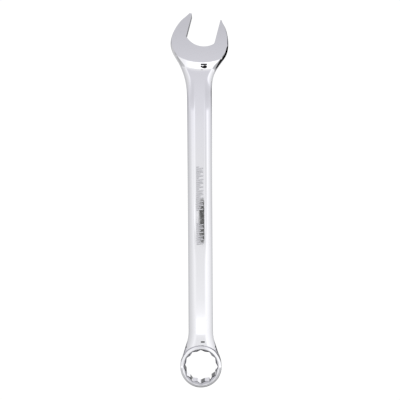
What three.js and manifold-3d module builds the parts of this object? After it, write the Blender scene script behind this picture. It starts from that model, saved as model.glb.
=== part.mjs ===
// Combination wrench, 19 mm: a 12-point ring at one end, a 15 degree open end at the other.
// Millimetres, +Z up. The wrench lies flat along Y with the open end at +Y.
// The origin is under the middle of the wrench, on the surface that the ring lies on.
import * as THREE from 'three';
import { mergeVertices } from 'three/addons/utils/BufferGeometryUtils.js';
import Module from 'manifold-3d';

const wasm = await Module();
wasm.setup();

// ---------- driving dimensions ----------
const JAW_GAP = 19.2; // across the jaws, for a 19 mm hexagon
const POINT_GAP = 19.16; // across the flats of the 12-point ring
const MOUTH_ANGLE = THREE.MathUtils.degToRad(15); // lean of the open end, clockwise from above

const RING = {
  y: -109.3, // centre of the ring
  radius: 13.7,
  half: 5.75, // half the thickness
  leadIn: 11.75, // radius of the lead-in chamfer at the face
  rimFlat: 12.05, // outer edge of the rim's flat
  rimRadius: 12.95, // outer edge of the rim, which slopes gently outwards
  rimDrop: 0.2,
  wallRadius: 13.55, // top of the outer wall, where the rim has rounded over
  wallDrop: 0.95,
  fullDrop: 2.6, // the wall reaches its full radius this far below the face
  chamferReach: 3, // how far the chamfer's cone runs, inwards and down
};
const SHANK = {
  halfAtRing: 8.1,
  halfAtOpen: 8.25,
  crown: 3.4, // half thickness over the rounded edges
  floor: 2.95, // half thickness over the sunk panel
  panelHalf: 3.15, // half width of the panel's flat floor
  bevelHalf: 4.05, // half width at the top of the panel's bevel
  edge: 4.0, // width of the rounded edge where the panel is sunk
  lowerEdge: 5.8, // and along the lower half, which is crowned instead
};
const HEAD = {
  half: 4.1, // half thickness of the open end
  edge: 1, // width of the rounded outer edge
  faceX: 2, // centre of the arc that bounds the flat face
  faceY: 123.2,
  faceRadius: 32.9,
  rampSlope: 0.25,
  plateY: 102.6, // the straight-sided plate starts here; the loft is below
  footHalf: 13.5, // the plate's foot, buried in the loft
  footY: 97,
};
const NUT = { x: 2.6, y: 112.5 }; // centre of a hexagon seated in the jaws
const THROAT = { depth: 11.5, radius: 13.5, corner: 1.2, cornerInset: 0.48 };
const NECK = { y: -90.3, rise: 0.55, length: 8 }; // where the ring's neck starts to thicken
const TANGENT = THREE.MathUtils.degToRad(18); // angle of the ring neck's sides
const TANGENT_INSET = 0.15;
const NECK_FILLET = 25;
const PANEL = { start: -45, full: 15, end: 69, runOut: 11 }; // along Y

// the forging is divided at these planes, all at Y values that are exact in binary
const CUTS = { ringNeck: -93, shank: -74, openNeck: 69, throat: 86, jaws: 107.5 };

const MARK_RISE = 0.3;
const MARK_ROOT = 0.9; // how far a mark goes down into the forging
const BAR = { half: 2.3, width: 1.2, slant: 0.6, pitch: 2.45 };
const BAR_ROWS = [{ from: -6, count: 12 }, { from: -28.5, count: 6 }];
const SIZE_GAP = 2.2; // from the open end's flat face to the middle of the size
const CHROME = { color: 0xc6c9cd, roughness: 0.09, metalness: 1 };

// ---------- small helpers ----------
const mix = (a, b, t) => a + (b - a) * t;
const clamp01 = (t) => Math.min(1, Math.max(0, t));
const smooth = (from, to, v) => {
  const t = clamp01((v - from) / (to - from));
  return t * t * (3 - 2 * t);
};

function toSolid(geometry) {
  const bare = geometry.clone();
  bare.deleteAttribute('normal');
  bare.deleteAttribute('uv');
  const merged = mergeVertices(bare, 1e-4);
  return new wasm.Manifold(new wasm.Mesh({
    numProp: 3,
    vertProperties: new Float32Array(merged.attributes.position.array),
    triVerts: new Uint32Array(merged.index.array),
  }));
}

function toGeometry(solid) {
  const mesh = solid.getMesh();
  const geometry = new THREE.BufferGeometry();
  geometry.setAttribute('position', new THREE.BufferAttribute(mesh.vertProperties, 3));
  geometry.setIndex(new THREE.BufferAttribute(mesh.triVerts, 1));
  geometry.computeVertexNormals();
  return geometry;
}

const union = (solids) => solids.reduce((whole, solid) => whole.add(solid));

function slab(fromY, toY, fromX = -30, toX = 30) {
  const box = new THREE.BoxGeometry(toX - fromX, toY - fromY, 40);
  box.translate((fromX + toX) / 2, (fromY + toY) / 2, RING.half);
  return toSolid(box);
}

// ---------- the outline seen from above ----------
const leftSide = new THREE.SplineCurve([
  new THREE.Vector2(-8.25, 64), new THREE.Vector2(-8.25, 69), new THREE.Vector2(-8.75, 75.5),
  new THREE.Vector2(-9.95, 81.5), new THREE.Vector2(-11.95, 87.3), new THREE.Vector2(-14.6, 92.6),
  new THREE.Vector2(-17.6, 98), new THREE.Vector2(-19, 103.2), new THREE.Vector2(-18.1, 108.6),
  new THREE.Vector2(-15.4, 114.2), new THREE.Vector2(-11.4, 119.2), new THREE.Vector2(-6.6, 122.7),
]);
const rightSide = new THREE.SplineCurve([
  new THREE.Vector2(8.25, 64), new THREE.Vector2(8.25, 69), new THREE.Vector2(8.3, 75),
  new THREE.Vector2(9, 80.4), new THREE.Vector2(11, 85.6), new THREE.Vector2(14.4, 90.6),
  new THREE.Vector2(17.8, 95.8), new THREE.Vector2(19.3, 102.2), new THREE.Vector2(18.8, 108.8),
  new THREE.Vector2(17.1, 114.4), new THREE.Vector2(14.5, 118.3),
]);
const leftPoints = leftSide.getPoints(88);
const rightPoints = rightSide.getPoints(80);

function sideAt(points, y) {
  const i = Math.max(1, points.findIndex((p) => p.y >= y));
  const [a, b] = [points[i - 1], points[i]];
  return mix(a.x, b.x, (y - a.y) / (b.y - a.y));
}

// half width on the ring's side: a line just inside the ring's tangent, filleted into the shank
function ringSide(y) {
  const tangentY = RING.y + RING.radius * Math.sin(TANGENT);
  const tangentHalf = RING.radius * Math.cos(TANGENT) - TANGENT_INSET;
  const line = tangentHalf - (y - tangentY) * Math.tan(TANGENT);
  const meetY = tangentY + (tangentHalf - SHANK.halfAtRing) / Math.tan(TANGENT);
  const reach = NECK_FILLET * Math.tan(TANGENT / 2);
  const filletTop = meetY + reach;
  if (y >= filletTop) {
    return SHANK.halfAtRing;
  }
  if (y <= meetY - reach * Math.cos(TANGENT)) {
    return line;
  }
  const dy = filletTop - y;
  return SHANK.halfAtRing + NECK_FILLET - Math.sqrt(NECK_FILLET ** 2 - dy ** 2);
}

function sides(y) {
  if (y > 66) {
    return [sideAt(leftPoints, y), sideAt(rightPoints, y)];
  }
  const taper = (SHANK.halfAtOpen - SHANK.halfAtRing) * clamp01((y + 86) / 152);
  const half = ringSide(y) + taper;
  return [-half, half];
}

// ---------- half thickness of the forging, before its edges are rounded ----------
function thickness(x, y) {
  const bead = (SHANK.crown - SHANK.floor)
    * clamp01((Math.abs(x) - SHANK.panelHalf) / (SHANK.bevelHalf - SHANK.panelHalf))
    * smooth(PANEL.start, PANEL.full, y)
    * (1 - smooth(PANEL.end - PANEL.runOut, PANEL.end + PANEL.runOut, y));
  const ringRise = NECK.rise * clamp01((NECK.y - y) / NECK.length);
  const beyond = Math.hypot(x - HEAD.faceX, y - HEAD.faceY) - HEAD.faceRadius;
  const head = HEAD.half - Math.max(0, beyond) * HEAD.rampSlope;
  return Math.max(SHANK.floor + bead + ringRise, head);
}

const edgeWidth = (y) => mix(SHANK.edge, HEAD.edge, smooth(80, 101, y))
  + (SHANK.lowerEdge - SHANK.edge) * smooth(PANEL.full, PANEL.start, y);

// ---------- loft: one closed ring of points at each station along Y ----------
const FLANK_STEPS = 4;
const PANEL_SHARE = 0.7; // the panel's floor as a share of the narrower crowned section

function section(y) {
  const [left, right] = sides(y);
  const edge = edgeWidth(y);
  const top = [];
  for (let k = 0; k <= FLANK_STEPS; k += 1) {
    const phi = (k / FLANK_STEPS) * Math.PI / 2;
    const x = left + edge * (1 - Math.cos(phi));
    top.push([x, thickness(x, y) * Math.sin(phi)]);
  }
  const [inL, inR] = [left + edge, right - edge];
  const [bevel, floor] = [SHANK.bevelHalf, SHANK.panelHalf];
  const crest = Math.min(bevel, inR);
  const foot = Math.min(floor, crest * PANEL_SHARE);
  const across = [mix(inL, -crest, 0.5), -crest, -foot, 0, foot, crest, mix(inR, crest, 0.5)];
  for (const x of across) {
    top.push([x, thickness(x, y)]);
  }
  for (let k = FLANK_STEPS; k >= 0; k -= 1) {
    const phi = (k / FLANK_STEPS) * Math.PI / 2;
    const x = right - edge * (1 - Math.cos(phi));
    top.push([x, thickness(x, y) * Math.sin(phi)]);
  }
  const under = top.slice(1, -1).reverse().map(([x, z]) => [x, -z]);
  return top.concat(under).map(([x, z]) => [x, y, RING.half + z]);
}

function loft(stations) {
  const rings = stations.map(section);
  const count = rings[0].length;
  const positions = rings.flat(2);
  const index = [];
  for (let j = 0; j < rings.length - 1; j += 1) {
    for (let i = 0; i < count; i += 1) {
      const [a, b] = [j * count + i, j * count + ((i + 1) % count)];
      index.push(a, b, a + count, b, b + count, a + count);
    }
  }
  // the ends are flat fans about the section's centre
  for (const [j, forward] of [[0, true], [rings.length - 1, false]]) {
    const centre = positions.length / 3;
    positions.push(0, stations[j], RING.half);
    for (let i = 0; i < count; i += 1) {
      const [a, b] = [j * count + i, j * count + ((i + 1) % count)];
      index.push(centre, forward ? b : a, forward ? a : b);
    }
  }
  const geometry = new THREE.BufferGeometry();
  geometry.setAttribute('position', new THREE.Float32BufferAttribute(positions, 3));
  geometry.setIndex(index);
  return toSolid(geometry);
}

// ---------- the ring ----------
const RING_SEGMENTS = 72;
const OVERSHOOT = 8; // how far a cutter runs past the forging's faces

function ringBlank() {
  const { radius, half, rimFlat, rimRadius, rimDrop, wallRadius, wallDrop, fullDrop } = RING;
  const upper = [
    [rimFlat, half], [rimRadius, half - rimDrop],
    [mix(rimRadius, wallRadius, 0.7), half - mix(rimDrop, wallDrop, 0.3)],
    [wallRadius, half - wallDrop], [radius, half - fullDrop],
  ];
  const lower = upper.map(([r, z]) => [r, -z]).reverse();
  const profile = [[0, half], ...upper, ...lower, [0, -half]].reverse();
  const points = profile.map(([r, z]) => new THREE.Vector2(r, z));
  const body = new THREE.LatheGeometry(points, RING_SEGMENTS);
  body.rotateX(Math.PI / 2);
  body.translate(0, RING.y, half);
  return toSolid(body);
}

// two hexagons at 30 degrees: a point on the shank's axis and every 30 degrees from it
function twelvePoint() {
  const shape = new THREE.Shape();
  const outer = POINT_GAP / 2 / Math.cos(Math.PI / 6);
  const inner = POINT_GAP / 2 / Math.cos(Math.PI / 12);
  for (let k = 0; k < 24; k += 1) {
    const radius = k % 2 === 0 ? outer : inner;
    const angle = (k * Math.PI) / 12;
    const [x, y] = [radius * Math.cos(angle), radius * Math.sin(angle)];
    if (k === 0) {
      shape.moveTo(x, y);
    } else {
      shape.lineTo(x, y);
    }
  }
  const depth = 2 * (RING.half + OVERSHOOT);
  const prism = new THREE.ExtrudeGeometry(shape, { depth, bevelEnabled: false });
  prism.translate(0, RING.y, -OVERSHOOT);
  return toSolid(prism);
}

function leadInCones() {
  const { half, leadIn, chamferReach } = RING;
  const [outside, inside] = [chamferReach / 3, (chamferReach * 2) / 3];
  const profile = [
    [0, -outside], [leadIn + outside, -outside], [leadIn - inside, inside], [0, inside],
  ];
  const points = profile.map(([r, z]) => new THREE.Vector2(r, z));
  return [1, -1].map((side) => {
    const cone = new THREE.LatheGeometry(points, RING_SEGMENTS);
    cone.rotateX(-side * Math.PI / 2);
    cone.translate(0, RING.y, half + side * half);
    return toSolid(cone);
  });
}

// ---------- the open end ----------
function headBlank() {
  const { plateY, footHalf, footY } = HEAD;
  const inset = HEAD.edge;
  const onFace = (p) => p.y > plateY;
  const shape = new THREE.Shape();
  const left = leftPoints.filter(onFace);
  const right = rightPoints.filter(onFace).reverse();
  shape.setFromPoints([...left, ...right].map((p) => new THREE.Vector2(p.x - Math.sign(p.x) * inset, p.y)));
  shape.lineTo(footHalf, footY);
  shape.lineTo(-footHalf, footY);
  shape.closePath();
  const plate = new THREE.ExtrudeGeometry(shape, {
    depth: 2 * (HEAD.half - inset),
    bevelSize: inset,
    bevelThickness: inset,
    bevelSegments: 2,
  });
  plate.translate(0, 0, RING.half - HEAD.half + inset);
  return toSolid(plate);
}

function mouth() {
  const half = JAW_GAP / 2;
  const reach = 30;
  const centre = THROAT.radius - THROAT.depth;
  const cornerY = centre - Math.sqrt(THROAT.radius ** 2 - half ** 2);
  const swing = Math.asin((half - THROAT.cornerInset) / THROAT.radius);
  const shape = new THREE.Shape();
  shape.moveTo(-half, reach);
  shape.lineTo(-half, cornerY + THROAT.corner);
  shape.absarc(0, centre, THROAT.radius, -Math.PI / 2 - swing, -Math.PI / 2 + swing, false);
  shape.lineTo(half, cornerY + THROAT.corner);
  shape.lineTo(half, reach);
  const cutter = new THREE.ExtrudeGeometry(shape, {
    depth: 2 * (RING.half + OVERSHOOT),
    bevelEnabled: false,
    curveSegments: 24,
  });
  cutter.rotateZ(-MOUTH_ANGLE);
  cutter.translate(NUT.x, NUT.y, -OVERSHOOT);
  return toSolid(cutter);
}

// ---------- raised marks: a plain row of slanted bars, and the size in digits ----------
function barMarks() {
  const { half, width, slant, pitch } = BAR;
  const bar = new THREE.Shape([
    new THREE.Vector2(-half, -(width + slant) / 2), new THREE.Vector2(-half, (width - slant) / 2),
    new THREE.Vector2(half, (width + slant) / 2), new THREE.Vector2(half, (slant - width) / 2),
  ]);
  const marks = [];
  for (const { from, count } of BAR_ROWS) {
    for (let k = 0; k < count; k += 1) {
      const depth = MARK_ROOT + MARK_RISE;
      const geometry = new THREE.ExtrudeGeometry(bar, { depth, bevelEnabled: false });
      geometry.translate(0, from + k * pitch, SHANK.floor - MARK_ROOT);
      marks.push(geometry);
    }
  }
  return marks;
}

const DIGIT = { tall: 3.4, wide: 1.5, stroke: 0.42, gap: 0.35 };

function digitOne() {
  const { tall, stroke } = DIGIT;
  return new THREE.Shape([
    new THREE.Vector2(-stroke / 2, 0), new THREE.Vector2(stroke / 2, 0),
    new THREE.Vector2(stroke / 2, tall), new THREE.Vector2(-stroke / 2, tall),
    new THREE.Vector2(-stroke * 1.6, tall * 0.78), new THREE.Vector2(-stroke * 1.1, tall * 0.72),
    new THREE.Vector2(-stroke / 2, tall * 0.82),
  ]);
}

function digitNine() {
  const { tall, wide, stroke } = DIGIT;
  const [a, b] = [wide / 2, tall * 0.29];
  const shape = new THREE.Shape();
  const top = tall - b;
  shape.moveTo(a, top);
  shape.absellipse(0, top, a, b, 0, Math.PI * 1.72, false);
  shape.lineTo(a - stroke, top - b * 0.55);
  shape.lineTo(a * 0.1, 0);
  shape.lineTo(a * 0.1 + stroke, 0);
  shape.lineTo(a, top - b * 0.35);
  const hole = new THREE.Path();
  hole.absellipse(0, top, a - stroke, b - stroke, 0, Math.PI * 2, true);
  shape.holes.push(hole);
  return shape;
}

// the digits read along the shank; slope tips them onto the ramp that they stand on
function sizeMarks(x, y, slope) {
  return [digitOne(), digitNine()].map((shape, k) => {
    const geometry = new THREE.ExtrudeGeometry(shape, {
      depth: MARK_ROOT + MARK_RISE,
      bevelEnabled: false,
      curveSegments: 6,
    });
    geometry.translate((k - 0.5) * (DIGIT.wide + DIGIT.gap), -DIGIT.tall / 2, -MARK_ROOT);
    geometry.rotateZ(-Math.PI / 2);
    geometry.rotateX(slope);
    geometry.translate(x, y, thickness(x, y));
    return geometry;
  });
}

// every mark is on both faces: the lower one is the upper one turned over about the shank
function onBothFaces(geometries) {
  return geometries.flatMap((geometry) => [0, Math.PI].map((turn) => {
    const copy = geometry.clone();
    copy.rotateY(turn);
    copy.translate(0, 0, RING.half);
    return toSolid(copy);
  }));
}

// ---------- the forging ----------
function range(from, to, step) {
  const count = Math.round((to - from) / step);
  return Array.from({ length: count + 1 }, (_, i) => from + i * step);
}
const stations = [
  ...range(-104.5, -82.5, 2), ...range(-79, -64, 3), ...range(-55, 45, 10), ...range(51, 75, 3),
  ...range(76.5, 103.5, 1.5),
];

const sizeSlope = Math.atan(HEAD.rampSlope);
const sizeY = HEAD.faceY - HEAD.faceRadius - SIZE_GAP;
const RING_SIZE_X = 1.3;
const ringSizeY = CUTS.ringNeck - 0.6;
const ringSlope = -Math.atan(NECK.rise / NECK.length);
const marks = onBothFaces([
  ...barMarks(),
  ...sizeMarks(HEAD.faceX + 0.9, sizeY, sizeSlope),
  ...sizeMarks(RING_SIZE_X, ringSizeY, ringSlope),
]);
const blank = union([loft(stations), ringBlank(), headBlank(), ...marks]);
const cutters = [twelvePoint(), ...leadInCones(), mouth()];
const forging = cutters.reduce((solid, cut) => solid.subtract(cut), blank);

// ---------- the named regions ----------
const END = 200;
const regions = {
  ring_head: slab(-END, CUTS.ringNeck),
  ring_neck: slab(CUTS.ringNeck, CUTS.shank),
  shank: slab(CUTS.shank, CUTS.openNeck),
  open_end_neck: slab(CUTS.openNeck, CUTS.throat),
  open_end_throat: slab(CUTS.throat, CUTS.jaws),
  long_jaw: slab(CUTS.jaws, END, -30, 3),
  short_jaw: slab(CUTS.jaws, END, 3, 30),
};

const group = new THREE.Group();
for (const [name, window] of Object.entries(regions)) {
  const material = new THREE.MeshStandardMaterial(CHROME);
  const mesh = new THREE.Mesh(toGeometry(forging.intersect(window)), material);
  mesh.name = name;
  group.add(mesh);
}

export default group;
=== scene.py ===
"""The finished look of a 19 mm combination wrench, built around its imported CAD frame.

The wrench is one forging, so its outer surface is made as one continuous skin and then divided
at the CAD model's own planes. Lengths below are millimetres until a mesh is made.
"""
import math

import bmesh
import bpy
import numpy as np
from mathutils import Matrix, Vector


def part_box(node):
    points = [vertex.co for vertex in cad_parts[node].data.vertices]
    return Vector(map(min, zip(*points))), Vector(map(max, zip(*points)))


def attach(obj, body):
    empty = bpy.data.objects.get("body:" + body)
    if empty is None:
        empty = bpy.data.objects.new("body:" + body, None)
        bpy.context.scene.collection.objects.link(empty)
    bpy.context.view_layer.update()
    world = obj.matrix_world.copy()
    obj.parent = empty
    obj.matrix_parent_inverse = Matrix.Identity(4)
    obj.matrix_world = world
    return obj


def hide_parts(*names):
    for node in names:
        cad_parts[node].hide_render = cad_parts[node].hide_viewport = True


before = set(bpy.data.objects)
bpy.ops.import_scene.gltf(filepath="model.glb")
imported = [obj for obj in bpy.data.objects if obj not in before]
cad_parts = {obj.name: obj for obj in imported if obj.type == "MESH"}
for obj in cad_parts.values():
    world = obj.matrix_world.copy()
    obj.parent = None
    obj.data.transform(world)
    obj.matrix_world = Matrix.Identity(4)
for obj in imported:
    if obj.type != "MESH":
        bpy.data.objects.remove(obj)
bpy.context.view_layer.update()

MM = 0.001
BODY = "root"


def node_box(name):
    """A CAD node's corners, in millimetres."""
    low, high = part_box(name)
    return np.array(low) / MM, np.array(high) / MM


# ---------- sizes, from the frame ----------
ring_low, ring_high = node_box("ring_head")
jaw_low, jaw_high = node_box("long_jaw")
shank_low, shank_high = node_box("shank")
throat_low, throat_high = node_box("open_end_throat")

MID = ring_high[2] / 2  # height of the plane that the wrench is symmetric about
RING_R = (ring_high[0] - ring_low[0]) / 2
RING_Y = ring_low[1] + RING_R
HEAD_HALF = (jaw_high[2] - jaw_low[2]) / 2
RING_CUT = ring_high[1]
SHANK_START, SHANK_END = shank_low[1], shank_high[1]
THROAT_START, JAW_CUT = throat_low[1], throat_high[1]

# ---------- sizes of the forging's own shapes ----------
# the shank, and the sunk panel with a bead along each side of it
HALF_AT_RING, HALF_AT_OPEN = 8.1, 8.25  # half widths of the shank
TAPER = (-86, 66)  # the stations where the shank has those half widths
FLOOR, CROWN = 2.95, 3.4  # half thickness over the panel and over the beads
PANEL_HALF, BEVEL_HALF = 2.95, 4.35  # half widths where the panel's slope starts and ends
PANEL_START, PANEL_FULL = -45.0, 15.0  # the panel deepens between these stations
PANEL_FADE = (58.0, 80.0)  # and runs out between these

# the ring
POINT_GAP = 19.16  # the hole across flats
LEAD_IN, LEAD_SLOPE = 11.75, 0.94  # the lead-in chamfer's outer radius and slope
RIM = 12.95  # outer radius of the ring's rim, which slopes gently outwards
RIM_SLOPE = math.tan(math.radians(11))
RIM_ROUND = 0.75  # depth of the rounding from the rim to the wall
WALL_R = RING_R - 0.15  # the ring's wall where it meets the neck

# the ring's neck, which rises to the ring and widens along a line near the ring's tangent
NECK_RISE, NECK_SPAN = 0.55, (-87.8, -99.3)
NECK_LEVEL = FLOOR + NECK_RISE
NECK_FILLET = 25.0
TANGENT, TANGENT_INSET = math.radians(18), 0.15
COLLAR_ROUND, COLLAR_FILLET = 0.09, 0.15  # where the rim stands over the neck

# the open end: its flat face, the ramp up to it, and the mouth
FACE, FACE_R = (2.0, 123.2), 32.9  # centre and radius of the arc round the flat face
RAMP_SLOPE, RAMP_BLEND = 0.25, 0.1
RAMP_FROM = 60  # the ramp lies beyond this station
JAW_GAP = 19.2
MOUTH_ANGLE = math.radians(15)
NUT = (2.6, 112.5)  # centre of a seated hexagon
THROAT_DEPTH, THROAT_R = 11.5, 13.5  # depth below the hexagon's centre, and radius

# widths of the rounded edge: on the shank's half nearer the open end, on its half nearer the
# ring, beside the ring, and at the open end
EDGE, LOWER_EDGE, RING_EDGE = 4.0, 5.8, 6.5
HEAD_EDGE, TIP_EDGE, CORNER_EDGE, MOUTH_EDGE = 1.1, 0.7, 0.3, 0.16
CORNER_REACH = 4.0  # the narrow edge at a jaw's tip widens over this distance
HEAD_SPAN, TIP_SPAN, RING_SPAN = (80, 99), (99, 108), (-85, -97)  # stations where the width changes
# how much of a quarter ellipse the edge follows: less than all leaves a crease at its top
SHANK_TURN, HEAD_TURN = math.radians(90), math.radians(60)
TURN_SPAN = (84, 95)


# ---------- small maths ----------
def mix(a, b, t):
    return a + (b - a) * t


def clamp01(t):
    return min(1.0, max(0.0, t))


def smooth(start, end, v):
    t = clamp01((v - start) / (end - start))
    return t * t * (3 - 2 * t)


def soft_max(a, b, roundness):
    return (a + b + math.sqrt((a - b) ** 2 + roundness * roundness)) / 2


class Spline:
    """A natural cubic spline x(y) through a few points of an outline, parametrised by length."""

    def __init__(self, points):
        self.p = np.array(points, float)
        steps = np.linalg.norm(np.diff(self.p, axis=0), axis=1)
        self.t = np.concatenate([[0], np.cumsum(steps)])
        self.m = self._second_derivatives()

    def _second_derivatives(self):
        h = np.diff(self.t)
        n = len(self.t)
        a = np.zeros((n, n))
        r = np.zeros((n, 2))
        a[0, 0] = a[-1, -1] = 1
        for i in range(1, n - 1):
            a[i, i - 1: i + 2] = h[i - 1], 2 * (h[i - 1] + h[i]), h[i]
            r[i] = 6 * ((self.p[i + 1] - self.p[i]) / h[i] - (self.p[i] - self.p[i - 1]) / h[i - 1])
        return np.linalg.solve(a, r)

    def at(self, t):
        i = int(np.clip(np.searchsorted(self.t, t) - 1, 0, len(self.t) - 2))
        h = self.t[i + 1] - self.t[i]
        a, b = (self.t[i + 1] - t) / h, (t - self.t[i]) / h
        bend = (a ** 3 - a) * self.m[i] + (b ** 3 - b) * self.m[i + 1]
        return a * self.p[i] + b * self.p[i + 1] + bend * h * h / 6

    def sample(self, count):
        return np.array([self.at(t) for t in np.linspace(0, self.t[-1], count)])


# ---------- the outline seen from above ----------
LEFT_SIDE = Spline([
    (-8.25, 60), (-8.25, 66), (-8.3, 70), (-8.75, 75.5), (-9.95, 81.5), (-11.95, 87.3),
    (-14.6, 92.6), (-17.6, 98), (-19, 103.2), (-18.1, 108.6), (-15.4, 114.2), (-11.4, 119.2),
    (-6.6, 122.7),
])
RIGHT_SIDE = Spline([
    (8.25, 60), (8.25, 66), (8.25, 70), (8.3, 75), (9, 80.4), (11, 85.6), (14.4, 90.6),
    (17.8, 95.8), (19.3, 102.2), (18.8, 108.8), (17.1, 114.4), (14.5, 118.3),
])
LEFT_LINE = LEFT_SIDE.sample(600)
RIGHT_LINE = RIGHT_SIDE.sample(600)


def ring_side(y):
    """Half width behind the ring: a line near its tangent, filleted into the shank."""
    tangent_y = RING_Y + RING_R * math.sin(TANGENT)
    tangent_half = RING_R * math.cos(TANGENT) - TANGENT_INSET
    meet_y = tangent_y + (tangent_half - HALF_AT_RING) / math.tan(TANGENT)
    reach = NECK_FILLET * math.tan(TANGENT / 2)
    top = meet_y + reach
    if y >= top:
        return HALF_AT_RING
    if y <= meet_y - reach * math.cos(TANGENT):
        return tangent_half - (y - tangent_y) * math.tan(TANGENT)
    return HALF_AT_RING + NECK_FILLET - math.sqrt(NECK_FILLET ** 2 - (top - y) ** 2)


def sides(y):
    """The x of the outline's left and right side at one station."""
    if y > TAPER[1]:
        return (float(np.interp(y, LEFT_LINE[:, 1], LEFT_LINE[:, 0])),
                float(np.interp(y, RIGHT_LINE[:, 1], RIGHT_LINE[:, 0])))
    along = clamp01((y - TAPER[0]) / (TAPER[1] - TAPER[0]))
    half = ring_side(y) + (HALF_AT_OPEN - HALF_AT_RING) * along
    return -half, half


# ---------- half thickness ----------
def thickness(x, y):
    """Half thickness before the edges are rounded."""
    bead = ((CROWN - FLOOR) * smooth(PANEL_HALF, BEVEL_HALF, abs(x))
            * smooth(PANEL_START, PANEL_FULL, y)
            * (1 - smooth(*PANEL_FADE, y)))
    low = FLOOR + bead + NECK_RISE * smooth(*NECK_SPAN, y)
    if y < RAMP_FROM:
        return low
    beyond = math.hypot(x - FACE[0], y - FACE[1]) - FACE_R
    if beyond <= 0:
        return HEAD_HALF
    return min(HEAD_HALF, soft_max(low, HEAD_HALF - beyond * RAMP_SLOPE, RAMP_BLEND))


def edge_width(y):
    return (mix(EDGE, HEAD_EDGE, smooth(*HEAD_SPAN, y))
            - (HEAD_EDGE - TIP_EDGE) * smooth(*TIP_SPAN, y)
            + (LOWER_EDGE - EDGE) * smooth(PANEL_FULL, PANEL_START, y)
            + (RING_EDGE - LOWER_EDGE) * smooth(*RING_SPAN, y))


def edge_turn(y):
    return mix(SHANK_TURN, HEAD_TURN, smooth(*TURN_SPAN, y))


FLANK = [k / 16 for k in range(17)]  # steps up the rounded edge, as shares of its turn


def edge_steps(y):
    """Steps up the edge: shares of its width and of its height."""
    turn = edge_turn(y)
    return [((1 - math.cos(turn * t)) / (1 - math.cos(turn)), math.sin(turn * t) / math.sin(turn))
            for t in FLANK]


def height(x, y):
    """Half thickness with the edges rounded to nothing at the outline."""
    left, right = sides(y)
    share = clamp01(min(x - left, right - x) / edge_width(y))
    turn = edge_turn(y)
    c = 1 - share * (1 - math.cos(turn))
    return thickness(x, y) * math.sqrt(max(0.0, 1 - c * c)) / math.sin(turn)


# ---------- the skin ----------
MERGE = 0.0002  # vertices this close are one
WELD = 0.002  # the same, for the finished skin


class Skin:
    """Faces above the middle plane, with vertices that meet merged."""

    def __init__(self):
        self.points, self.faces, self.index = [], [], {}

    def vertex(self, p):
        key = tuple(round(c / MERGE) for c in p)
        if key not in self.index:
            self.index[key] = len(self.points)
            self.points.append(tuple(float(c) for c in p))
        return self.index[key]

    def face(self, corners):
        ids = [self.vertex(p) for p in corners]
        ids = [v for k, v in enumerate(ids) if v != ids[k - 1]]
        if len(ids) > 2:
            self.faces.append(ids)

    def grid(self, rows, flip=False):
        for lower, upper in zip(rows, rows[1:]):
            for i in range(len(lower) - 1):
                quad = [lower[i], lower[i + 1], upper[i + 1], upper[i]]
                self.face(quad[::-1] if flip else quad)


# columns from the middle to the rounded edge, as shares of that distance
INNER = [0.25, 0.5, 0.7, 0.76, 0.79, 0.82, 0.85, 0.88, 0.91, 0.94, 0.97]
MIDDLE = 0.02  # the middle column's place, as a share of the sum of the inner limits
# rows along the forging: from, to and step
ROWS = ((RING_CUT, SHANK_START, 0.6), (SHANK_START, -62, 0.8), (-62, 54, 4),
        (54, SHANK_END, 0.8), (SHANK_END, THROAT_START, 0.5))


def columns(y):
    """The x of each column across the forging, closer together over edges and bevels."""
    left, right = sides(y)
    edge = edge_width(y)
    in_left, in_right = left + edge, right - edge
    insets = [edge * share for share, _ in edge_steps(y)]
    xs = [left + inset for inset in insets]
    xs += [in_left * f for f in reversed(INNER)] + [(in_left + in_right) * MIDDLE]
    xs += [in_right * f for f in INNER]
    return xs + [right - inset for inset in reversed(insets)]


def station(y):
    return [(x, y, height(x, y)) for x in columns(y)]


def spaced(start, end, step):
    count = max(1, round((end - start) / step))
    return list(np.linspace(start, end, count + 1))


def add_shank(skin):
    ys = [y for row in ROWS for y in spaced(*row)[:-1]] + [THROAT_START]
    skin.grid([station(y) for y in ys])


# ---------- the open end ----------
ARC_SEARCH = (92, 106)  # the arc round the flat face ends between these stations
RAMP_ROWS, RAMP_CROWDING, LAST_ROW = 26, 1.35, 0.985
TIP_RADIUS = 0.45
LEFT_CORNER, RIGHT_CORNER = 1.1, 2.2  # radii between the mouth's flats and the throat
TIP_LEFT_V, TIP_RIGHT_V = 7.85, 8.75  # where the flats end, along the mouth's axis
TIP_LEFT_WIDTH, TIP_RIGHT_WIDTH, TIP_RIGHT_DROP = 1.75, 0.9, 0.25
TIP_WALL = 0.6  # how far the tips' rounded corners take after the mouth's upright wall
FLAT_STEPS, THROAT_STEPS, LEFT_STEPS, RIGHT_STEPS = 14, 60, 12, 14
LINE_STRIDE = 3  # every how many points of an outline the open end's edge takes
WALL_STEPS = 8
HALVINGS = 60


def crossing(inside, low, high):
    """Where inside() turns true, between low, where it's false, and high."""
    for _ in range(HALVINGS):
        middle = (low + high) / 2
        low, high = (low, middle) if inside(middle) else (middle, high)
    return high


def arc_end(side):
    """Where the arc round the flat face meets the inner limit of the rounded edge."""
    sign = (-1, 1)[side]

    def inside(y):
        return math.hypot(sides(y)[side] - sign * edge_width(y) - FACE[0], y - FACE[1]) <= FACE_R

    return crossing(inside, *ARC_SEARCH)


ARC_LEFT, ARC_RIGHT = arc_end(0), arc_end(1)


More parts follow.
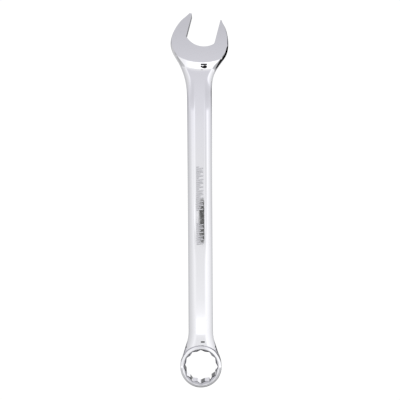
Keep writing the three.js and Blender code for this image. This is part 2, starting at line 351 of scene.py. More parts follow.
def ramp_rows():
    """Rows from the straight station at the throat's start to the arc round the flat face."""
    base = columns(THROAT_START)
    n = len(FLANK)
    inner = base[n - 1: len(base) - n + 1]
    spans = [(x - inner[0]) / (inner[-1] - inner[0]) for x in inner]
    a0 = math.atan2(ARC_LEFT - FACE[1], sides(ARC_LEFT)[0] + edge_width(ARC_LEFT) - FACE[0])
    a1 = math.atan2(ARC_RIGHT - FACE[1], sides(ARC_RIGHT)[1] - edge_width(ARC_RIGHT) - FACE[0])
    a0 = a0 - 2 * math.pi if a0 > 0 else a0
    arc = [(FACE[0] + FACE_R * math.cos(mix(a0, a1, u)), FACE[1] + FACE_R * math.sin(mix(a0, a1, u)))
           for u in spans]
    rows = []
    shares = [1 - (1 - k / RAMP_ROWS) ** RAMP_CROWDING for k in range(RAMP_ROWS + 1)]
    shares.insert(-1, LAST_ROW)
    for v in shares:
        yl, yr = mix(THROAT_START, ARC_LEFT, v), mix(THROAT_START, ARC_RIGHT, v)
        el, er = edge_width(yl), edge_width(yr)
        left, right = sides(yl)[0], sides(yr)[1]
        start, end = np.array([left + el, yl]), np.array([right - er, yr])
        row = [(left + el * share, yl) for share, _ in edge_steps(yl)[:-1]]
        for u, x, top in zip(spans, inner, arc):
            low = np.array([x, THROAT_START])
            corner = ((1 - u) * ((1 - v) * np.array([inner[0], THROAT_START]) + v * np.array(arc[0]))
                      + u * ((1 - v) * np.array([inner[-1], THROAT_START]) + v * np.array(arc[-1])))
            row.append(tuple((1 - v) * low + v * np.array(top) + (1 - u) * start + u * end - corner))
        row += [(right - er * share, yr) for share, _ in reversed(edge_steps(yr)[:-1])]
        rows.append([(x, y, height(x, y)) for x, y in row])
    return rows


def arc_points(centre, radius, start, end, count):
    return [(centre[0] + radius * math.cos(a), centre[1] + radius * math.sin(a))
            for a in np.linspace(start, end, count)]


def rounded(corners, radius, count=7):
    """Replaces the middle of three corners by an arc."""
    a, b, c = (np.array(p, float) for p in corners)
    u, w = (a - b) / np.linalg.norm(a - b), (c - b) / np.linalg.norm(c - b)
    half = math.acos(float(np.clip(u @ w, -1, 1))) / 2
    centre = b + (u + w) / np.linalg.norm(u + w) * radius / math.sin(half)
    p, q = b + u * radius / math.tan(half), b + w * radius / math.tan(half)
    start = math.atan2(*(p - centre)[::-1])
    turn = (math.atan2(*(q - centre)[::-1]) - start + math.pi) % (2 * math.pi) - math.pi
    return arc_points(centre, radius, start, start + turn, count)


def from_mouth(u, v):
    """A point given across and along the mouth's axis, from the centre of a seated hexagon."""
    c, s = math.cos(MOUTH_ANGLE), math.sin(MOUTH_ANGLE)
    return NUT[0] + u * c + v * s, NUT[1] - u * s + v * c


def mouth_corner(side, radius):
    """The fillet between a jaw's flat and the throat's arc: its centre and two tangent angles."""
    middle = THROAT_R - THROAT_DEPTH
    across = JAW_GAP / 2 - radius
    v = middle - math.sqrt((THROAT_R - radius) ** 2 - across ** 2)
    angle = math.atan2(v - middle, side * across)
    return (side * across, v), angle


def mouth_line():
    """The mouth's wall from the long jaw's tip round the throat to the short jaw's tip."""
    half = JAW_GAP / 2
    middle = THROAT_R - THROAT_DEPTH
    left, left_angle = mouth_corner(-1, LEFT_CORNER)
    right, right_angle = mouth_corner(1, RIGHT_CORNER)
    line = [(-half, v) for v in np.linspace(TIP_LEFT_V, left[1], FLAT_STEPS)]
    line += arc_points(left, LEFT_CORNER, -math.pi, left_angle, LEFT_STEPS)[1:]
    line += arc_points((0, middle), THROAT_R, left_angle, right_angle, THROAT_STEPS)[1:]
    line += arc_points(right, RIGHT_CORNER, right_angle, 0, RIGHT_STEPS)[1:]
    line += [(half, v) for v in np.linspace(right[1], TIP_RIGHT_V, FLAT_STEPS)][1:]
    return [from_mouth(u, v) for u, v in line]


def head_line():
    """The open end's whole edge, and for each point how far its wall is the mouth's upright one."""
    left_corner = from_mouth(-JAW_GAP / 2 - TIP_LEFT_WIDTH, TIP_LEFT_V)
    right_corner = from_mouth(JAW_GAP / 2 + TIP_RIGHT_WIDTH, TIP_RIGHT_V - TIP_RIGHT_DROP)

    def between(line, start, corner):
        clear = [tuple(p) for p in line
                 if p[1] > start + 0.15 and math.dist(p, corner) > 3 * TIP_RADIUS]
        return clear[::LINE_STRIDE]

    left = between(LEFT_LINE, ARC_LEFT, left_corner)
    right = between(RIGHT_LINE[::-1], ARC_RIGHT, right_corner)
    mouth = mouth_line()
    left_tip = rounded([left[-1], left_corner, mouth[0]], TIP_RADIUS)
    left_in = rounded([left_corner, mouth[0], mouth[1]], TIP_RADIUS / 2)
    right_in = rounded([mouth[-2], mouth[-1], right_corner], TIP_RADIUS / 2)
    right_tip = rounded([mouth[-1], right_corner, right[0]], TIP_RADIUS)
    start = (sides(ARC_LEFT)[0], ARC_LEFT)
    end = (sides(ARC_RIGHT)[1], ARC_RIGHT)
    parts = [([start] + left, 0), (left_tip, TIP_WALL), (left_in, 1), (mouth[1:-1], 1),
             (right_in, 1), (right_tip, TIP_WALL), (right + [end], 0)]
    points = [p for part, _ in parts for p in part]
    inner = [m for part, m in parts for _ in part]
    return points, inner


def flank_profile(share, edge, point, inward):
    """Steps from the outline up to the face at one point; share 1 is the mouth's upright wall."""
    steps = []
    for k, (width, rise) in enumerate(edge_steps(point[1])):
        inset = edge * width
        top = thickness(point[0] + inward[0] * inset, point[1] + inward[1] * inset)
        oval = (inset, top * rise)
        if k <= WALL_STEPS:
            wall = (0.0, (HEAD_HALF - MOUTH_EDGE) * k / WALL_STEPS)
        else:
            b = (k - WALL_STEPS) / (len(FLANK) - 1 - WALL_STEPS) * math.pi / 2
            wall = (MOUTH_EDGE * (1 - math.cos(b)), HEAD_HALF - MOUTH_EDGE * (1 - math.sin(b)))
        inset, z = mix(oval[0], wall[0], share), mix(oval[1], wall[1], share)
        steps.append((point[0] + inward[0] * inset, point[1] + inward[1] * inset, z))
    return steps


def add_head(skin):
    rows = ramp_rows()
    skin.grid(rows)
    points, inner = head_line()
    p = np.array(points)
    ahead = np.roll(p, -1, axis=0) - p
    behind = p - np.roll(p, 1, axis=0)
    ahead[-1], behind[0] = behind[-1], ahead[0]
    ahead /= np.linalg.norm(ahead, axis=1)[:, None]
    behind /= np.linalg.norm(behind, axis=1)[:, None]
    tangent = ahead + behind
    tangent /= np.linalg.norm(tangent, axis=1)[:, None]
    normal = np.stack([tangent[:, 1], -tangent[:, 0]], axis=1)
    normal[0], normal[-1] = (1, 0), (-1, 0)
    # the rounded edge narrows towards the tips
    travelled = np.concatenate([[0], np.cumsum(np.linalg.norm(np.diff(p, axis=0), axis=1))])
    tip_left = next(i for i, m in enumerate(inner) if m > 0)
    tip_right = len(inner) - 1 - next(i for i, m in enumerate(inner[::-1]) if m > 0)
    strip = []
    for i, (q, n, m) in enumerate(zip(p, normal, inner)):
        to_tip = abs(travelled[i] - travelled[tip_left if i < len(p) / 2 else tip_right])
        wide = smooth(0, CORNER_REACH, to_tip) if m == 0 else 0
        edge = mix(CORNER_EDGE, edge_width(q[1]), wide)
        strip.append(flank_profile(m, edge, q, n))
    skin.grid(strip, flip=True)
    face = [s[-1] for s in strip]
    arc = rows[-1][len(FLANK) - 1: len(rows[-1]) - len(FLANK) + 1]
    skin.face([(x, y, HEAD_HALF) for x, y, _ in face + arc[::-1][1:-1]][::-1])


# ---------- the ring ----------
CORNER_SOFTNESS = math.radians(0.9)
HALF_POINT = 15  # degrees of half a point of the hole
# rays through half a point of the hole, in degrees, closer together at its corners
STAR_RAYS = (0, 0.5, 1.0, 1.7, 3.0, 5.5, 9.5, 12.0, 13.3, 14.0, 14.5)
# heights up the hole's wall, and steps up the lead-in chamfer, as shares
WALL_SHARES = (0, 0.25, 0.5, 0.75, 0.97, 1.0)
LEAD_SHARES = (0.12, 0.25, 0.38, 0.5, 0.62, 0.74, 0.84, 0.93)
LEAD_POWER = 1.5
BEVEL = 0.12  # softening from the chamfer to the rim
RIM_START = LEAD_IN + 0.3
OUTER_ROWS, NECK_RAYS, FREE_RAYS = 34, 26, 150
NECK_ANGLE = math.radians(14)  # the neck's rays start here, measured from straight right
COLLAR_SPAN = (0.2, 2.4)  # the neck takes over from the wall as the outline leaves it this far


def star_radius(angle):
    """The 12-point hole's radius at an angle: two hexagons, a point every 30 degrees."""
    step = math.pi / 6
    off = (angle + step / 2) % step - step / 2
    off = math.hypot(off, CORNER_SOFTNESS)
    off = step / 2 - math.hypot(step / 2 - off, CORNER_SOFTNESS)
    return POINT_GAP / 2 / math.cos(step - off)


def ring_outline(angle):
    """Distance from the ring's centre to the outline or to the cut across the neck."""
    c, s = abs(math.cos(angle)), math.sin(angle)
    if s <= math.sin(TANGENT):
        return RING_R
    reach = (RING_CUT - RING_Y) / s

    def outside(r):
        return r * c > sides(RING_Y + r * s)[1] + 1e-9

    return max(RING_R, crossing(outside, RING_R - 0.5, reach) if outside(reach) else reach)


def outer_profile(angle):
    """Points down the outside of the ring at one angle, from its rim to the middle plane."""
    c, s = math.cos(angle), math.sin(angle)
    end = ring_outline(angle)
    spread = smooth(*COLLAR_SPAN, end - WALL_R)
    out = []
    for k in range(OUTER_ROWS + 1):
        u = (1 - k / OUTER_ROWS) ** 2
        r = mix(end, WALL_R, u)
        oval = NECK_LEVEL * math.sqrt(max(0.0, 2 * u - u * u))
        z = oval
        if spread > 0:
            x, y = r * c, RING_Y + r * s
            near = clamp01(1 - (r - WALL_R) / COLLAR_FILLET)
            z = mix(oval, height(x, y) + COLLAR_FILLET * (1 - math.sqrt(1 - near * near)), spread)
        out.append((r, z))
    top = out[0][1]
    rim = mix(RIM, WALL_R - COLLAR_ROUND, spread)
    rim_z = MID - (rim - RIM_START) * RIM_SLOPE
    drop = rim_z - mix(RIM_ROUND, COLLAR_ROUND, spread)
    round_over = [(RIM_START, MID), (mix(RIM_START, rim, 0.5), mix(MID, rim_z, 0.5))]
    round_over += [(mix(rim, WALL_R, math.sin(a)), mix(drop, rim_z, math.cos(a)))
                   for a in np.linspace(0, math.pi / 2, 9)]
    wall = [(WALL_R, mix(drop, top, t)) for t in (0.25, 0.5, 0.75)]
    return [(r * c, RING_Y + r * s, z) for r, z in round_over + wall + out]


def zip_loops(skin, inner, outer):
    """Fills the flat rim between two loops of points round the ring's centre."""
    def angle(p):
        return math.atan2(p[1] - RING_Y, p[0]) % (2 * math.pi)

    inner, outer = sorted(inner, key=angle), sorted(outer, key=angle)
    a, b = [angle(p) for p in inner], [angle(p) for p in outer]
    i = j = 0
    while i < len(inner) or j < len(outer):
        ai = a[i] if i < len(a) else math.inf
        bj = b[j] if j < len(b) else math.inf
        p, q = inner[i % len(inner)], outer[j % len(outer)]
        if ai <= bj:
            skin.face([p, q, inner[(i + 1) % len(inner)]])
            i += 1
        else:
            skin.face([p, q, outer[(j + 1) % len(outer)]])
            j += 1


def star_angles():
    """The hole's rays all the way round; every second half point runs backwards."""
    rays = []
    for half in range(24):
        if half % 2 == 0:
            rays += [HALF_POINT * half + ray for ray in STAR_RAYS]
        else:
            rays += [HALF_POINT * (half + 1) - ray for ray in (HALF_POINT, *STAR_RAYS[:0:-1])]
    return [math.radians(ray) for ray in rays] + [2 * math.pi]


def star_profile(angle):
    """Points from the middle plane up the hole's wall, over the lead-in chamfer, to the rim."""
    wall_r = star_radius(angle)
    wall_top = MID - (LEAD_IN - wall_r) * LEAD_SLOPE
    steps = [(wall_r, wall_top * t) for t in WALL_SHARES]
    steps += [(mix(wall_r, LEAD_IN, t), mix(wall_top, MID, 1 - (1 - t) ** LEAD_POWER))
              for t in LEAD_SHARES]
    steps += [(LEAD_IN + BEVEL * 0.3, MID - BEVEL * 0.25), (LEAD_IN + BEVEL, MID)]
    return [(r * math.cos(angle), RING_Y + r * math.sin(angle), z) for r, z in steps]


def add_ring(skin):
    cut = [math.atan2(RING_CUT - RING_Y, x) for x, _, _ in station(RING_CUT)]
    side = list(np.linspace(NECK_ANGLE, min(cut), NECK_RAYS))[:-1]
    free = list(np.linspace(-math.pi - NECK_ANGLE, NECK_ANGLE, FREE_RAYS))
    angles = free[:-1] + side + sorted(cut) + [math.pi - a for a in reversed(side)]
    outer = [outer_profile(a) for a in angles]
    # the rays that reach the cut end exactly on the shank's first station
    first = {round(math.atan2(y - RING_Y, x), 9): (x, y, z) for x, y, z in station(RING_CUT)}
    for a, profile in zip(angles, outer):
        if round(a, 9) in first:
            profile[-1] = first[round(a, 9)]
    skin.grid(outer + outer[:1], flip=True)
    inner = [star_profile(a) for a in star_angles()]
    inner[-1] = inner[0]
    skin.grid(inner)
    zip_loops(skin, [profile[-1] for profile in inner[:-1]], [profile[0] for profile in outer])


# ---------- from the skin to the pieces ----------
SHARP = math.radians(22)  # edges that turn more than this stay crisp


def whole_forging():
    """The closed skin, both halves, as a bmesh cut along the regions' planes."""
    skin = Skin()
    add_shank(skin)
    add_head(skin)
    add_ring(skin)
    bm = bmesh.new()
    top = [bm.verts.new(p) for p in skin.points]
    under = [v if abs(v.co.z) < 1e-7 else bm.verts.new((v.co.x, v.co.y, -v.co.z)) for v in top]
    for ids in skin.faces:
        bm.faces.new([top[i] for i in ids])
        bm.faces.new([under[i] for i in reversed(ids)])
    bmesh.ops.remove_doubles(bm, verts=bm.verts, dist=WELD)
    bmesh.ops.recalc_face_normals(bm, faces=bm.faces)
    big = [f for f in bm.faces if len(f.verts) > 4]
    bmesh.ops.triangulate(bm, faces=big, ngon_method="EAR_CLIP")
    bmesh.ops.bisect_plane(bm, geom=bm.verts[:] + bm.edges[:] + bm.faces[:], dist=1e-5,
                           plane_co=(0, JAW_CUT, 0), plane_no=(0, 1, 0))
    bm.normal_update()
    return bm


def corner_normals(bm):
    """Area-weighted normals, shared across every edge that is not sharp."""
    normals = {}
    for v in bm.verts:
        left = set(v.link_faces)
        while left:
            fan, stack = [], [left.pop()]
            while stack:
                f = stack.pop()
                fan.append(f)
                for e in f.edges:
                    if v not in e.verts or len(e.link_faces) != 2:
                        continue
                    other = e.link_faces[0] if e.link_faces[1] is f else e.link_faces[1]
                    if other in left and f.normal.angle(other.normal, 0) < SHARP:
                        left.discard(other)
                        stack.append(other)
            n = Vector()
            for f in fan:
                n += f.normal * f.calc_area()
            n.normalize()
            for f in fan:
                normals[f.index, v.index] = n
    return normals


def region_of(x, y):
    if y < RING_CUT:
        return "ring_head"
    if y < SHANK_START:
        return "ring_neck"
    if y < SHANK_END:
        return "shank"
    if y < THROAT_START:
        return "open_end_neck"
    if y < JAW_CUT:
        return "open_end_throat"
    return "long_jaw" if x < NUT[0] else "short_jaw"


def boundary_loops(faces):
    """Open edges of a set of faces as closed chains, running against the faces."""
    edges = {}
    for f in faces:
        for a, b in zip(f, f[1:] + f[:1]):
            edges[a, b] = True
    following = {b: a for a, b in edges if (b, a) not in edges}
    loops = []
    while following:
        start = next(iter(following))
        loop, v = [], start
        while v in following:
            loop.append(v)
            v = following.pop(v)
        loops.append(loop)
    return loops


def make_piece(name, faces, points, normals):
    """One region as its own closed mesh, its skin normals kept and its cut ends capped flat."""
    used = sorted({v for f in faces for v in f[1]})
    place = {v: k for k, v in enumerate(used)}
    polygons = [[place[v] for v in f[1]] for f in faces]
    loop_normals = [normals[f[0], v] for f in faces for v in f[1]]
    coordinates = [points[v] for v in used]
    for loop in boundary_loops(polygons):
        polygons.append(loop)
        centre = sum((Vector(coordinates[v]) for v in loop), Vector()) / len(loop)
        n = Vector()
        for a, b in zip(loop, loop[1:] + loop[:1]):
            n += (Vector(coordinates[a]) - centre).cross(Vector(coordinates[b]) - centre)
        loop_normals += [n.normalized()] * len(loop)
    mesh = bpy.data.meshes.new(name)
    mesh.from_pydata([(x * MM, y * MM, (z + MID) * MM) for x, y, z in coordinates], [], polygons)
    mesh.polygons.foreach_set("use_smooth", [True] * len(mesh.polygons))
    mesh.normals_split_custom_set([tuple(n) for n in loop_normals])
    mesh.validate()
    piece = bpy.data.objects.new(name, mesh)
    bpy.context.scene.collection.objects.link(piece)
    return piece


def build_forging(material):
    bm = whole_forging()
    bm.verts.index_update()
    bm.faces.index_update()
    normals = corner_normals(bm)
    points = [tuple(v.co) for v in bm.verts]
    regions = {}
    for f in bm.faces:
        c = f.calc_center_median()
        regions.setdefault(region_of(c.x, c.y), []).append((f.index, [v.index for v in f.verts]))
    for name, faces in sorted(regions.items()):
        piece = make_piece("forged_" + name, faces, points, normals)
        piece.data.materials.append(material)
        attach(piece, BODY)
        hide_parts(name)
    bm.free()


# ---------- raised marks ----------
MARK_ROOT = 0.25  # how far a mark goes down into the forging
BAR_PITCH, BAR_SLANT = 2.45, 0.6
BAR_ROWS = ((-6.0, 12), (-28.5, 6))  # first bar's y and how many
BAR_HALF, BAR_SHIFT = 2.0, -0.15  # half of a bar's length across the shank, and its middle
BAR_REACH = (0.1, 0.75, -0.4)  # how far each second stroke goes, as a share of the half length
STROKE, STROKE_RISE = 0.42, 0.3  # half width and height of a rounded stroke
END_STEPS, ROUND_STEPS = 6, 11
DIGIT_RISE = 0.22
DIGIT_DEPTH, DIGIT_BEVEL, DIGIT_WEIGHT = 0.3, 0.04, 0.055  # of the outlined figures, in font units
DIGIT_CROWN = 0.2  # millimetres that a font unit of depth adds to a digit's height


def finish_piece(name, mesh, node_name, material):
    piece = bpy.data.objects.new(name, mesh)
    bpy.context.scene.collection.objects.link(piece)
    mesh.materials.clear()
    mesh.materials.append(material)
    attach(piece, BODY)
    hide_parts(node_name)


def ridge(bm, start, end, turn):
    """A rounded stroke between two points of the panel, half sunk in the forging."""
    a, b = np.array(start), np.array(end)
    length = np.linalg.norm(b - a)
    along = (b - a) / length
    across = np.array([-along[1], along[0]])
    rings = []
    steps = [(-STROKE * math.cos(t), math.sin(t)) for t in np.linspace(0.001, math.pi / 2, END_STEPS)]
    steps += [(length - d, w) for d, w in reversed(steps)]
    for d, w in steps:
        ring = []
        for t in np.linspace(0, math.pi, ROUND_STEPS):
            x, y = a + along * d + across * STROKE * w * math.cos(t)
            z = thickness(x, y) + STROKE_RISE * w * math.sin(t)
            ring.append(bm.verts.new((turn * x * MM, y * MM, (MID + turn * z) * MM)))
        for t in (math.pi, 0):
            x, y = a + along * d + across * STROKE * w * math.cos(t)
            z = thickness(x, y) - MARK_ROOT
            ring.append(bm.verts.new((turn * x * MM, y * MM, (MID + turn * z) * MM)))
        rings.append(ring)
    for lower, upper in zip(rings, rings[1:]):
        for i in range(len(lower)):
            j = (i + 1) % len(lower)
            bm.faces.new((lower[i], lower[j], upper[j], upper[i]))
    bm.faces.new(rings[0])
    bm.faces.new(rings[-1][::-1])


def build_bars(material):
    """Rows of slanted strokes where a maker's lettering would be, on both faces."""
    for side, turn in (("upper", 1), ("lower", -1)):
        bm = bmesh.new()
        for start, count in BAR_ROWS:
            for k in range(count):
                y = start + k * BAR_PITCH
                foot = BAR_SHIFT - BAR_HALF
                ridge(bm, (foot, y - BAR_SLANT), (BAR_SHIFT + BAR_HALF, y), turn)
                reach = BAR_SHIFT + BAR_HALF * BAR_REACH[k % 3]
                ridge(bm, (foot, y + BAR_SLANT), (reach, y + BAR_SLANT * 1.6), turn)
        bmesh.ops.recalc_face_normals(bm, faces=bm.faces)
        mesh = bpy.data.meshes.new(f"shank_bars_{side}")
        bm.to_mesh(mesh)
        bm.free()
        mesh.polygons.foreach_set("use_smooth", [True] * len(mesh.polygons))
        finish_piece(f"shank_bars_{side}", mesh, "shank", material)


def digits(name, text, centre, tall, wide, node_name, material):
    """The size in raised digits that read along the wrench, on both faces."""
    curve = bpy.data.curves.new(name, "FONT")
    curve.body = text
    curve.extrude = DIGIT_DEPTH
    curve.bevel_depth = DIGIT_BEVEL
    curve.offset = DIGIT_WEIGHT
    curve.align_x = curve.align_y = "CENTER"
    holder = bpy.data.objects.new(name, curve)
    bpy.context.scene.collection.objects.link(holder)
    bpy.context.view_layer.update()
    flat = bpy.data.meshes.new_from_object(holder.evaluated_get(bpy.context.evaluated_depsgraph_get()))
    bpy.data.objects.remove(holder)
    low = np.array([v.co for v in flat.vertices]).min(axis=0)
    high = np.array([v.co for v in flat.vertices]).max(axis=0)
    for side, turn in (("upper", 1), ("lower", -1)):
        mesh = flat.copy()
        mesh.polygons.foreach_set("use_smooth", [False] * len(mesh.polygons))
        for v in mesh.vertices:
            across = (v.co.y - low[1]) / (high[1] - low[1]) - 0.5
            along = (v.co.x - low[0]) / (high[0] - low[0]) - 0.5
            x, y = centre[0] + across * tall, centre[1] - along * wide
            z = thickness(x, y) + (DIGIT_RISE + v.co.z * DIGIT_CROWN if v.co.z > 0 else -MARK_ROOT)
            v.co = (turn * x * MM, y * MM, (MID + turn * z) * MM)
        finish_piece(f"{name}_{side}", mesh, node_name, material)


def build_marks(plate, dark):
    build_bars(plate)
    # the '19' and the ring end's '1' take the near-black material: a painted dark reflection that
    # stands in for the dark surroundings that raised chrome digits mirror
    digits("size_digits_open_end", "19", (FACE[0] + 0.9, FACE[1] - FACE_R - 2.2), 4.4, 2.9,
           "open_end_throat", dark)
    digits("first_digit_ring_end", "1", (1.3, RING_CUT - 0.4), 2.5, 0.8, "ring_head", dark)
    digits("last_digit_ring_end", "9", (1.3, RING_CUT - 1.7), 2.5, 1.2, "ring_head", plate)


# ---------- materials ----------
def node(tree, kind, inputs=None, **settings):
    made = tree.nodes.new(kind)
    for key, value in settings.items():
        setattr(made, key, value)
    for key, value in (inputs or {}).items():
        if isinstance(value, bpy.types.NodeSocket):
            tree.links.new(value, made.inputs[key])
        else:
            made.inputs[key].default_value = value
    return made


def chrome(name, color, rough, rough_swing):
    """Polished chrome plate: a little roughness that wanders, hairline scratches, a faint ripple."""
    material = bpy.data.materials.new(name)
    material.use_nodes = True
    tree = material.node_tree
    tree.nodes.clear()
    shader = node(tree, "ShaderNodeBsdfPrincipled", {"Base Color": (*color, 1), "Metallic": 1.0})
    place = node(tree, "ShaderNodeTexCoord").outputs["Object"]
    haze = node(tree, "ShaderNodeTexNoise", {"Vector": place, "Scale": 260.0, "Detail": 3.0})
    swing = node(tree, "ShaderNodeMapRange", {
        "Value": haze.outputs["Fac"], "From Min": 0.3, "From Max": 0.7,
        "To Min": rough, "To Max": rough + rough_swing})
    tree.links.new(swing.outputs["Result"], shader.inputs["Roughness"])
    along = node(tree, "ShaderNodeMapping", {"Vector": place, "Scale": (9000.0, 250.0, 9000.0)})
    scratch = node(tree, "ShaderNodeTexNoise", {"Vector": along.outputs["Vector"], "Scale": 1.0,
                                                "Detail": 2.0})
    ripple = node(tree, "ShaderNodeTexNoise", {"Vector": place, "Scale": 90.0, "Detail": 1.0})
    fine = node(tree, "ShaderNodeBump", {"Strength": 0.02, "Distance": 0.000004,
                                         "Height": scratch.outputs["Fac"]})
    wide = node(tree, "ShaderNodeBump", {"Strength": 0.05, "Distance": 0.00004,
                                         "Height": ripple.outputs["Fac"],
                                         "Normal": fine.outputs["Normal"]})
    tree.links.new(wide.outputs["Normal"], shader.inputs["Normal"])
    output = node(tree, "ShaderNodeOutputMaterial")
    tree.links.new(shader.outputs["BSDF"], output.inputs["Surface"])
    return material


# ---------- floor, light and camera ----------
FLOOR_SIZE, FLOOR_LEVEL = 3000, -0.2
CARD_LEVEL, CARD_HEIGHT = 0.1, 12
PAPER = 1.05  # brightness of the plain surroundings


def card(name, corners, material):
    """A flat sheet of the studio, given by its corners in millimetres."""
    mesh = bpy.data.meshes.new(name)
    mesh.from_pydata([(x * MM, y * MM, z * MM) for x, y, z in corners], [], [list(range(len(corners)))])
    mesh.materials.append(material)
    sheet = bpy.data.objects.new(name, mesh)
    bpy.context.scene.collection.objects.link(sheet)
    return sheet


def glow(name, color, strength):
    material = bpy.data.materials.new(name)
    material.use_nodes = True
    tree = material.node_tree
    tree.nodes.clear()
    light = node(tree, "ShaderNodeEmission", {"Color": (*color, 1), "Strength": strength})
    output = node(tree, "ShaderNodeOutputMaterial")
    tree.links.new(light.outputs["Emission"], output.inputs["Surface"])
    return material


def level_sheet(low, high, z):
    """Corners of a level rectangle."""
    return [(low[0], low[1], z), (high[0], low[1], z), (high[0], high[1], z), (low[0], high[1], z)]


def build_floor():
    corners = level_sheet((-FLOOR_SIZE, -FLOOR_SIZE), (FLOOR_SIZE, FLOOR_SIZE), FLOOR_LEVEL)
    floor = card("floor", corners, glow("floor_paper", (1, 1, 1), PAPER))
    floor.visible_glossy = False


def grey_curve(tree, value, low, high, stops):
    """A piecewise-linear curve of value between low and high, read as (value, level) stops."""
    scaled = node(tree, "ShaderNodeMapRange", {"Value": value, "From Min": low, "From Max": high})
    made = node(tree, "ShaderNodeValToRGB", {"Fac": scaled.outputs["Result"]})
    ramp = made.color_ramp
    while len(ramp.elements) < len(stops):
        ramp.elements.new(0.5)
    for element, (at, level) in zip(ramp.elements, stops):
        element.position = (at - low) / (high - low)
        element.color = (level, level, level, 1)
    return made.outputs["Color"]


def maths(tree, operation, a, b=0.0, c=0.0):
    made = tree.nodes.new("ShaderNodeMath")
    made.operation = operation
    for k, value in enumerate((a, b, c)):
        if isinstance(value, bpy.types.NodeSocket):
            tree.links.new(value, made.inputs[k])
        else:
            made.inputs[k].default_value = value
    return made.outputs[0]


PEAK = 2.2  # the brightest level in the studio; curve levels are shares of it
# level against how far a direction leans along the wrench, towards the open end
ALONG = [(-1.0, 0.06), (-0.93, 0.14), (-0.8, 0.2), (-0.6, 0.31), (-0.4, 0.38), (-0.27, 0.42),
         (-0.235, 0.9), (-0.172, 0.9), (-0.16, 0.69), (-0.13, 0.62), (-0.08, 0.59), (0.0, 0.565),
         (0.17, 0.545), (0.235, 0.5), (0.276, 0.465), (0.33, 0.40), (0.5, 0.38), (0.8, 0.4),
         (1.0, 0.33)]
# level against a direction's height, for directions that lean to the left and to the right
LEFT_SKY = [(0.0, 0.44), (0.45, 0.49), (0.73, 0.53), (0.9, 0.60), (0.95, 0.655), (1.0, 0.66)]
RIGHT_SKY = [(0.0, 0.50), (0.45, 0.57), (0.73, 0.65), (0.9, 0.72), (0.966, 0.75), (1.0, 0.75)]
# level against the compass, in degrees from straight right, for directions below the tent
LOW = [(-180, 0.405), (-170, 0.405), (-160, 0.3), (-128, 0.34), (-114, 0.3), (-102, 0.02),
       (-24, 0.02), (-12, 0.44), (12, 0.44), (18, 0.06), (50, 0.06), (62, 0.4), (90, 0.5),
       (118, 0.4), (130, 0.24), (162, 0.24), (170, 0.405), (180, 0.405)]
# level against the compass for directions close to straight down
DOWN = [(-180, 0.4), (-170, 0.4), (-158, 0.6), (-142, 0.6), (-128, 0.3), (-105, 0.12), (-20, 0.12),
        (-8, 0.4), (8, 0.4), (18, 0.6), (40, 0.6), (48, 0.12), (66, 0.12), (76, 0.45), (104, 0.45),
        (125, 0.3), (140, 0.12), (160, 0.12), (170, 0.4), (180, 0.4)]


def fade(tree, value, start, end):
    """0 at start, 1 at end."""
    return node(tree, "ShaderNodeMapRange", {"Value": value, "From Min": start, "From Max": end}
                ).outputs["Result"]


def blend(tree, share, a, b):
    """Colour a where share is 0, b where it's 1."""
    made = tree.nodes.new("ShaderNodeMix")
    made.data_type = "RGBA"
    sockets = {k.identifier: k for k in made.inputs}
    for name, value in (("Factor_Float", share), ("A_Color", a), ("B_Color", b)):
        if isinstance(value, bpy.types.NodeSocket):
            tree.links.new(value, sockets[name])
        else:
            sockets[name].default_value = value
    return next(k for k in made.outputs if k.identifier == "Result_Color")


# the dark opening for the lens, as direction parts: half extents, and its middle
LENS_SPAN, LENS_MIDDLE = (0.0056, 0.039), (0.0007, 0.0075)


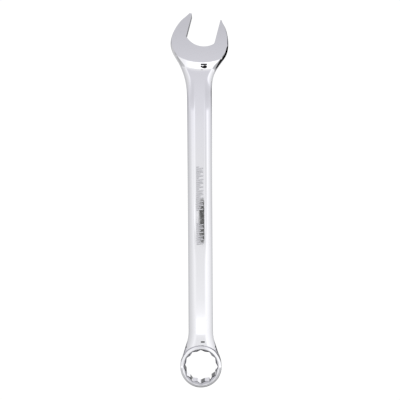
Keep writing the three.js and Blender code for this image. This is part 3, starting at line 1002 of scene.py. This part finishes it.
def build_world():
    """A white tent: a bright panel past the ring end, and dark gaps low in some corners."""
    world = bpy.data.worlds.new("studio")
    bpy.context.scene.world = world
    world.use_nodes = True
    tree = world.node_tree
    tree.nodes.clear()
    direction = node(tree, "ShaderNodeTexCoord").outputs["Generated"]
    parts = node(tree, "ShaderNodeSeparateXYZ", {"Vector": direction})
    x, y, z = (parts.outputs[k] for k in "XYZ")
    compass = maths(tree, "DEGREES", maths(tree, "ARCTAN2", y, x))
    aside = blend(tree, fade(tree, x, -0.05, 0.05), grey_curve(tree, z, 0, 1, LEFT_SKY),
                  grey_curve(tree, z, 0, 1, RIGHT_SKY))
    lean = maths(tree, "MULTIPLY", fade(tree, maths(tree, "ABSOLUTE", x), 0.06, 0.2),
                 maths(tree, "MULTIPLY", fade(tree, y, 0.228, 0.2), fade(tree, y, -0.25, -0.21)))
    sky = blend(tree, lean, grey_curve(tree, y, -1, 1, ALONG), aside)
    low = blend(tree, fade(tree, z, 0.12, -0.02), sky, grey_curve(tree, compass, -180, 180, LOW))
    down = blend(tree, fade(tree, z, -0.9, -0.95), low, grey_curve(tree, compass, -180, 180, DOWN))
    offsets = [maths(tree, "MULTIPLY", maths(tree, "SUBTRACT", v, middle), 1 / span)
               for v, middle, span in zip((x, y), LENS_MIDDLE, LENS_SPAN)]
    slit = maths(tree, "ADD", *(maths(tree, "POWER", offset, 4.0) for offset in offsets))
    above = maths(tree, "MULTIPLY", fade(tree, slit, 1.15, 0.85), fade(tree, z, 0.4, 0.6))
    lens = blend(tree, above, down, (0.05, 0.05, 0.047, 1))
    tint = blend(tree, fade(tree, y, 0.1, 0.22), (1, 1, 1, 1), (0.995, 0.99, 1.03, 1))
    tinted = node(tree, "ShaderNodeVectorMath", {0: lens, 1: tint}, operation="MULTIPLY")
    seen = node(tree, "ShaderNodeBackground", {"Color": tinted.outputs["Vector"], "Strength": PEAK})
    paper = node(tree, "ShaderNodeBackground", {"Color": (1, 1, 1, 1), "Strength": PAPER})
    path = node(tree, "ShaderNodeLightPath")
    choose = node(tree, "ShaderNodeMixShader", {"Fac": path.outputs["Is Camera Ray"]})
    tree.links.new(seen.outputs["Background"], choose.inputs[1])
    tree.links.new(paper.outputs["Background"], choose.inputs[2])
    output = node(tree, "ShaderNodeOutputWorld")
    tree.links.new(choose.outputs["Shader"], output.inputs["Surface"])


def build_cards():
    """Black cards that draw dark lines down the ring's neck and the open end's right side."""
    black = glow("black_card", (0, 0, 0), 0.0)
    cards = [card("card_open_end", level_sheet((20, 82), (75, 104), CARD_LEVEL), black)]
    start, end = -106, -93
    for side in (-1, 1):
        near, far = side * 17.0, side * 40.0
        cards.append(card(f"card_lying_{side + 1}",
                          level_sheet((near, start), (far, end), CARD_LEVEL), black))
        upright = [(far, start, 0), (far, end, 0), (far, end, CARD_HEIGHT), (far, start, CARD_HEIGHT)]
        cards.append(card(f"card_standing_{side + 1}", upright, black))
    for sheet in cards:
        sheet.visible_camera = False


CAMERA_SPOT = (0.0012, -0.0165)
CAMERA_HEIGHT = 0.370  # above the ring's rim
FIELD = 0.2615  # width of the picture at the ring's rim
CAMERA_ROLL = math.radians(-0.31)
CAMERA_SHIFT = (-0.005, 0.0628)


def build_camera():
    data = bpy.data.cameras.new("camera")
    data.sensor_width = 36.0
    data.lens = data.sensor_width / 2 / (FIELD / 2 / CAMERA_HEIGHT)
    data.clip_start, data.clip_end = 0.01, 10
    camera = bpy.data.objects.new("camera", data)
    bpy.context.scene.collection.objects.link(camera)
    camera.location = (*CAMERA_SPOT, 2 * MID * MM + CAMERA_HEIGHT)
    camera.rotation_euler = (0, 0, CAMERA_ROLL)
    data.shift_x, data.shift_y = CAMERA_SHIFT
    bpy.context.scene.camera = camera


bpy.context.scene.view_settings.view_transform = "Standard"
build_camera()
build_floor()
build_world()
build_cards()
plate = chrome("chrome_plate", (0.612, 0.612, 0.636), 0.02, 0.03)
# near-black chrome for the size digits: a painted dark reflection, not a colour the metal has
digit_painted_reflection_plate = chrome("digit_painted_dark_reflection", (0.012, 0.012, 0.013), 0.3, 0.1)
build_forging(plate)
build_marks(plate, digit_painted_reflection_plate)
